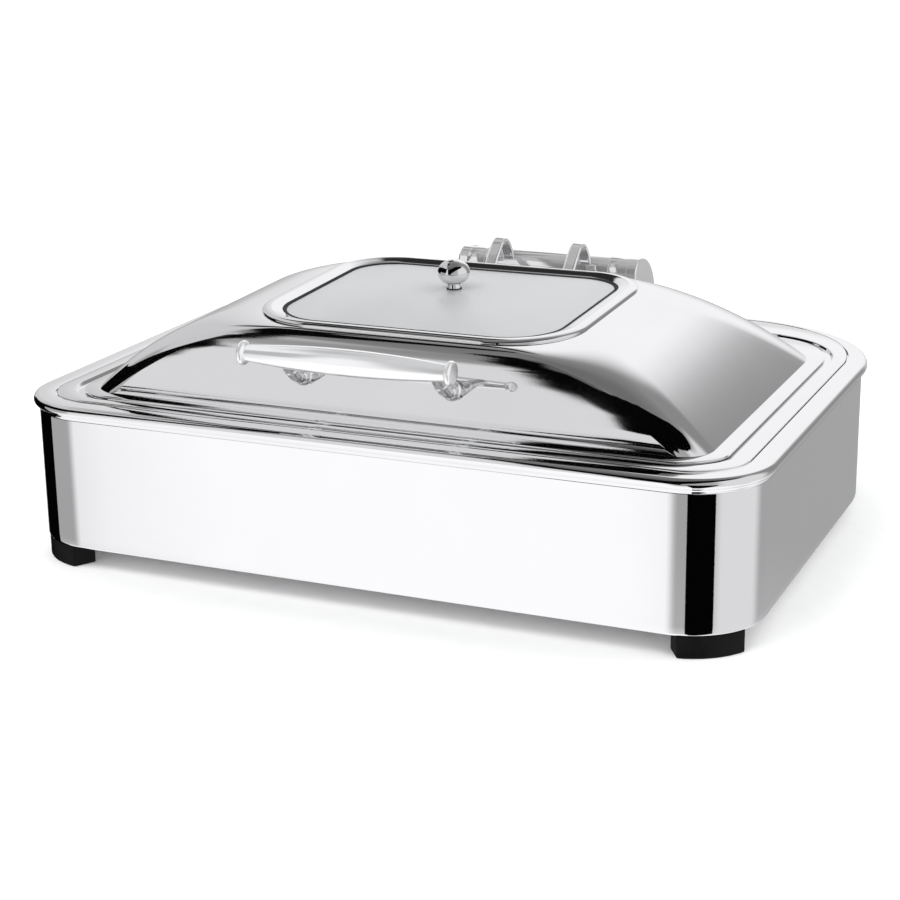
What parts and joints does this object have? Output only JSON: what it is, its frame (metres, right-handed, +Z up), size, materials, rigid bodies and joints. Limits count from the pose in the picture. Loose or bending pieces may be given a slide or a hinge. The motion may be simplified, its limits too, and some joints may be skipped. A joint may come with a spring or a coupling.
{
  "type": "drop-in chafing dish",
  "caption": "Drop-in chafing dish in a rectangular steel casing on black corner feet, with a hinged domed lid, glass window, ball knob and front bar handle.",
  "frame": {"origin": "on the rest plane, under the middle of the whole outline with the handle", "axes": "+Z up; -Y is the handle side; +Y is the hinge side; +X is the user's right"},
  "size_m": [0.6452, 0.5123, 0.2447],
  "materials": {
    "steel_mirror": "mirror polished stainless steel",
    "steel_brushed": "brushed stainless steel",
    "black_foot": "black moulded plastic, fine grain",
    "black_rubber": "black silicone rubber",
    "clear_glass": "clear toughened glass",
    "induction_steel": "magnetic steel plate, brushed",
    "screw_steel": "plain steel",
    "bush_plastic": "natural plastic bearing",
    "damper_black": "black damper housing",
    "spring_steel": "oiled spring steel"
  },
  "bodies": {
    "stand": {"casing_shell": "steel_mirror", "casing_rim": "steel_mirror", "foot_screws": "screw_steel", "foot_front_left": "black_foot", "foot_front_right": "black_foot", "foot_rear_left": "black_foot", "foot_rear_right": "black_foot"},
    "drop_in": {"water_pan": "steel_mirror", "induction_base_plate": "induction_steel", "food_pan": "steel_brushed", "rim_seal": "black_rubber", "hinge_base_plate": "steel_brushed", "hinge_tower_left": "steel_mirror", "hinge_tower_right": "steel_mirror", "hinge_screws": "screw_steel", "hinge_rear_cover": "steel_mirror", "hinge_shaft": "steel_brushed", "hinge_collars": "steel_mirror"},
    "lid": {"arm_backing_plates": "steel_brushed", "arm_screws": "screw_steel", "barrel_bushes": "bush_plastic", "closing_spring": "spring_steel", "glass_knob": "steel_mirror", "handle_bar": "steel_mirror", "handle_end_caps": "steel_mirror", "handle_leg_left": "steel_mirror", "handle_leg_right": "steel_mirror", "handle_screws": "screw_steel", "handle_washers": "steel_brushed", "hinge_arm_left": "steel_mirror", "hinge_arm_right": "steel_mirror", "hinge_barrel": "steel_mirror", "hinge_damper": "damper_black", "knob_screw": "screw_steel", "knob_washers": "black_rubber", "lid_shell": "steel_mirror", "retainer_screws": "screw_steel", "window_frame": "steel_mirror", "window_gasket": "black_rubber", "window_glass": "clear_glass", "window_retainer": "steel_brushed"}
  },
  "joints": [
    {"name": "drop_in_lift", "type": "slide", "parent": "stand", "child": "drop_in", "axis": [0, 0, 1], "range_m": [0, 0.15]},
    {"name": "lid_hinge", "type": "hinge", "parent": "drop_in", "child": "lid", "pos_m": [0, 0.1975, 0.1905], "axis": [-1, 0, 0], "range_deg": [0, 90]}
  ]
}
